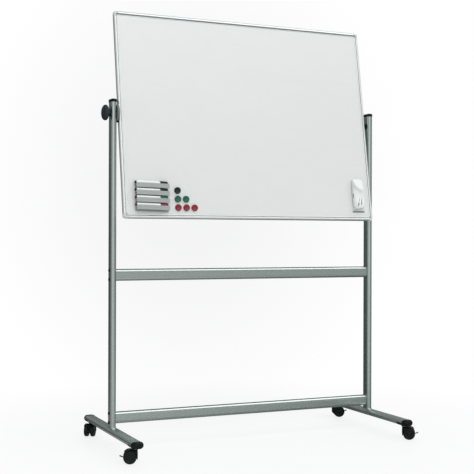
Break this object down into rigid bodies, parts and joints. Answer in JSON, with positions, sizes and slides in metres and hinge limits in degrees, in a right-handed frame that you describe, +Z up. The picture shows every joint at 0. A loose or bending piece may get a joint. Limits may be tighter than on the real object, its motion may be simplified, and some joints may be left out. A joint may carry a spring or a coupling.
{
  "type": "rolling whiteboard",
  "caption": "Two-sided framed whiteboard that revolves between two uprights on a wheeled stand, with clamp knob, pen rack, magnets and eraser.",
  "frame": {"origin": "on the floor, midway between the two uprights and midway between the front and rear ends of the feet", "axes": "+Z up, +X along the board to the right as seen from the front, -Y out of the front of the board; the board's pivot runs along X at z = 1.409 m"},
  "size_m": [1.3714, 0.711, 1.8539],
  "materials": {
    "silver_lacquered_tube": "satin silver-grey powder coat",
    "anodised_aluminium": "satin anodised",
    "corner_grey_plastic": "light grey, satin",
    "white_lacquered_steel": "glossy white lacquer on steel",
    "honeycomb_core": "raw fibreboard, hidden",
    "black_plastic": "black, semi-matte",
    "black_tyre": "black hard nylon, semi-matte",
    "black_bolt": "black-coated steel",
    "zinc_steel": "bright zinc",
    "grey_clutch_disc": "mid grey, satin",
    "white_plastic": "white, soft gloss",
    "holder_grey": "grey, satin",
    "ink_black": "black",
    "ink_green": "green",
    "ink_red": "red"
  },
  "bodies": {
    "stand": {"left_upright": "silver_lacquered_tube", "right_upright": "silver_lacquered_tube", "upper_rail": "silver_lacquered_tube", "lower_rail": "silver_lacquered_tube", "left_foot": "silver_lacquered_tube", "right_foot": "silver_lacquered_tube", "left_upright_cap": "black_plastic", "right_upright_cap": "black_plastic", "upper_rail_bolt_left_top": "black_bolt", "upper_rail_bolt_left_bottom": "black_bolt", "upper_rail_bolt_right_top": "black_bolt", "upper_rail_bolt_right_bottom": "black_bolt", "lower_rail_bolt_left_top": "black_bolt", "lower_rail_bolt_left_bottom": "black_bolt", "lower_rail_bolt_right_top": "black_bolt", "lower_rail_bolt_right_bottom": "black_bolt", "left_front_foot_cap": "black_plastic", "left_rear_foot_cap": "black_plastic", "right_front_foot_cap": "black_plastic", "right_rear_foot_cap": "black_plastic"},
    "board": {"board_core": "honeycomb_core", "board_front_sheet": "white_lacquered_steel", "board_rear_sheet": "white_lacquered_steel", "frame_top_profile": "anodised_aluminium", "frame_bottom_profile": "anodised_aluminium", "frame_left_profile": "anodised_aluminium", "frame_right_profile": "anodised_aluminium", "frame_corner_top_left": "corner_grey_plastic", "frame_corner_top_right": "corner_grey_plastic", "frame_corner_bottom_left": "corner_grey_plastic", "frame_corner_bottom_right": "corner_grey_plastic", "left_clutch_disc": "grey_clutch_disc", "left_pivot_stud": "zinc_steel", "right_pivot_stud": "black_bolt", "right_spacer_bush": "black_plastic", "marker_holder": "holder_grey"},
    "clamp_knob_body": {"clamp_knob": "black_plastic"},
    "left_front_caster": {"caster_left_front_housing": "black_plastic"},
    "left_front_wheel_pair": {"caster_left_front_wheels": "black_tyre"},
    "left_front_brake": {"caster_left_front_brake_lever": "black_plastic"},
    "left_rear_caster": {"caster_left_rear_housing": "black_plastic"},
    "left_rear_wheel_pair": {"caster_left_rear_wheels": "black_tyre"},
    "left_rear_brake": {"caster_left_rear_brake_lever": "black_plastic"},
    "right_front_caster": {"caster_right_front_housing": "black_plastic"},
    "right_front_wheel_pair": {"caster_right_front_wheels": "black_tyre"},
    "right_front_brake": {"caster_right_front_brake_lever": "black_plastic"},
    "right_rear_caster": {"caster_right_rear_housing": "black_plastic"},
    "right_rear_wheel_pair": {"caster_right_rear_wheels": "black_tyre"},
    "right_rear_brake": {"caster_right_rear_brake_lever": "black_plastic"},
    "marker_black_1_body": {"marker_black_1": "ink_black"},
    "marker_black_2_body": {"marker_black_2": "ink_black"},
    "marker_green_body": {"marker_green": "ink_green"},
    "marker_red_body": {"marker_red": "ink_red"},
    "magnet_black_body": {"magnet_black": "ink_black"},
    "magnet_green_1_body": {"magnet_green_1": "ink_green"},
    "magnet_green_2_body": {"magnet_green_2": "ink_green"},
    "magnet_red_1_body": {"magnet_red_1": "ink_red"},
    "magnet_red_2_body": {"magnet_red_2": "ink_red"},
    "magnet_red_3_body": {"magnet_red_3": "ink_red"},
    "eraser_body": {"eraser": "white_plastic"}
  },
  "joints": [
    {"name": "board_revolve", "type": "hinge", "parent": "stand", "child": "board", "pos_m": [0, 0, 1.409], "axis": [1, 0, 0], "continuous": true},
    {"name": "clamp_knob_turn", "type": "hinge", "parent": "board", "child": "clamp_knob_body", "pos_m": [-0.65, 0, 1.409], "axis": [-1, 0, 0], "range_deg": [0, 360]},
    {"name": "left_front_swivel", "type": "hinge", "parent": "stand", "child": "left_front_caster", "pos_m": [-0.622, -0.312, 0.07], "axis": [0, 0, 1], "continuous": true},
    {"name": "left_front_roll", "type": "hinge", "parent": "left_front_caster", "child": "left_front_wheel_pair", "pos_m": [-0.64239, -0.30518, 0.0265], "axis": [-0.3173, -0.9483, 0], "continuous": true},
    {"name": "left_front_brake_press", "type": "hinge", "parent": "left_front_caster", "child": "left_front_brake", "pos_m": [-0.65567, -0.30074, 0.021], "axis": [-0.3173, -0.9483, 0], "range_deg": [0, 22]},
    {"name": "left_rear_swivel", "type": "hinge", "parent": "stand", "child": "left_rear_caster", "pos_m": [-0.622, 0.312, 0.07], "axis": [0, 0, 1], "continuous": true},
    {"name": "left_rear_roll", "type": "hinge", "parent": "left_rear_caster", "child": "left_rear_wheel_pair", "pos_m": [-0.63275, 0.29338, 0.0265], "axis": [0.866, -0.5, 0], "continuous": true},
    {"name": "left_rear_brake_press", "type": "hinge", "parent": "left_rear_caster", "child": "left_rear_brake", "pos_m": [-0.63975, 0.28126, 0.021], "axis": [0.866, -0.5, 0], "range_deg": [0, 22]},
    {"name": "right_front_swivel", "type": "hinge", "parent": "stand", "child": "right_front_caster", "pos_m": [0.622, -0.312, 0.07], "axis": [0, 0, 1], "continuous": true},
    {"name": "right_front_roll", "type": "hinge", "parent": "right_front_caster", "child": "right_front_wheel_pair", "pos_m": [0.64003, -0.32371, 0.0265], "axis": [0.5446, 0.8387, 0], "continuous": true},
    {"name": "right_front_brake_press", "type": "hinge", "parent": "right_front_caster", "child": "right_front_brake", "pos_m": [0.65177, -0.33133, 0.021], "axis": [0.5446, 0.8387, 0], "range_deg": [0, 22]},
    {"name": "right_rear_swivel", "type": "hinge", "parent": "stand", "child": "right_rear_caster", "pos_m": [0.622, 0.312, 0.07], "axis": [0, 0, 1], "continuous": true},
    {"name": "right_rear_roll", "type": "hinge", "parent": "right_rear_caster", "child": "right_rear_wheel_pair", "pos_m": [0.64239, 0.30518, 0.0265], "axis": [0.3173, 0.9483, 0], "continuous": true},
    {"name": "right_rear_brake_press", "type": "hinge", "parent": "right_rear_caster", "child": "right_rear_brake", "pos_m": [0.65567, 0.30074, 0.021], "axis": [0.3173, 0.9483, 0], "range_deg": [0, 22]},
    {"name": "marker_black_1_lift_off", "type": "slide", "parent": "board", "child": "marker_black_1_body", "axis": [0.0279, 0.165, 0.9859], "range_m": [0, 0.01]},
    {"name": "marker_black_2_lift_off", "type": "slide", "parent": "board", "child": "marker_black_2_body", "axis": [0.0279, 0.165, 0.9859], "range_m": [0, 0.01]},
    {"name": "marker_green_lift_off", "type": "slide", "parent": "board", "child": "marker_green_body", "axis": [0.0279, 0.165, 0.9859], "range_m": [0, 0.01]},
    {"name": "marker_red_lift_off", "type": "slide", "parent": "board", "child": "marker_red_body", "axis": [0.0279, 0.165, 0.9859], "range_m": [0, 0.01]},
    {"name": "magnet_black_lift_off", "type": "slide", "parent": "board", "child": "magnet_black_body", "axis": [0, -0.9863, 0.165], "range_m": [0, 0.04]},
    {"name": "magnet_green_1_lift_off", "type": "slide", "parent": "board", "child": "magnet_green_1_body", "axis": [0, -0.9863, 0.165], "range_m": [0, 0.04]},
    {"name": "magnet_green_2_lift_off", "type": "slide", "parent": "board", "child": "magnet_green_2_body", "axis": [0, -0.9863, 0.165], "range_m": [0, 0.04]},
    {"name": "magnet_red_1_lift_off", "type": "slide", "parent": "board", "child": "magnet_red_1_body", "axis": [0, -0.9863, 0.165], "range_m": [0, 0.04]},
    {"name": "magnet_red_2_lift_off", "type": "slide", "parent": "board", "child": "magnet_red_2_body", "axis": [0, -0.9863, 0.165], "range_m": [0, 0.04]},
    {"name": "magnet_red_3_lift_off", "type": "slide", "parent": "board", "child": "magnet_red_3_body", "axis": [0, -0.9863, 0.165], "range_m": [0, 0.04]},
    {"name": "eraser_lift_off", "type": "slide", "parent": "board", "child": "eraser_body", "axis": [0, -0.9863, 0.165], "range_m": [0, 0.05]}
  ]
}
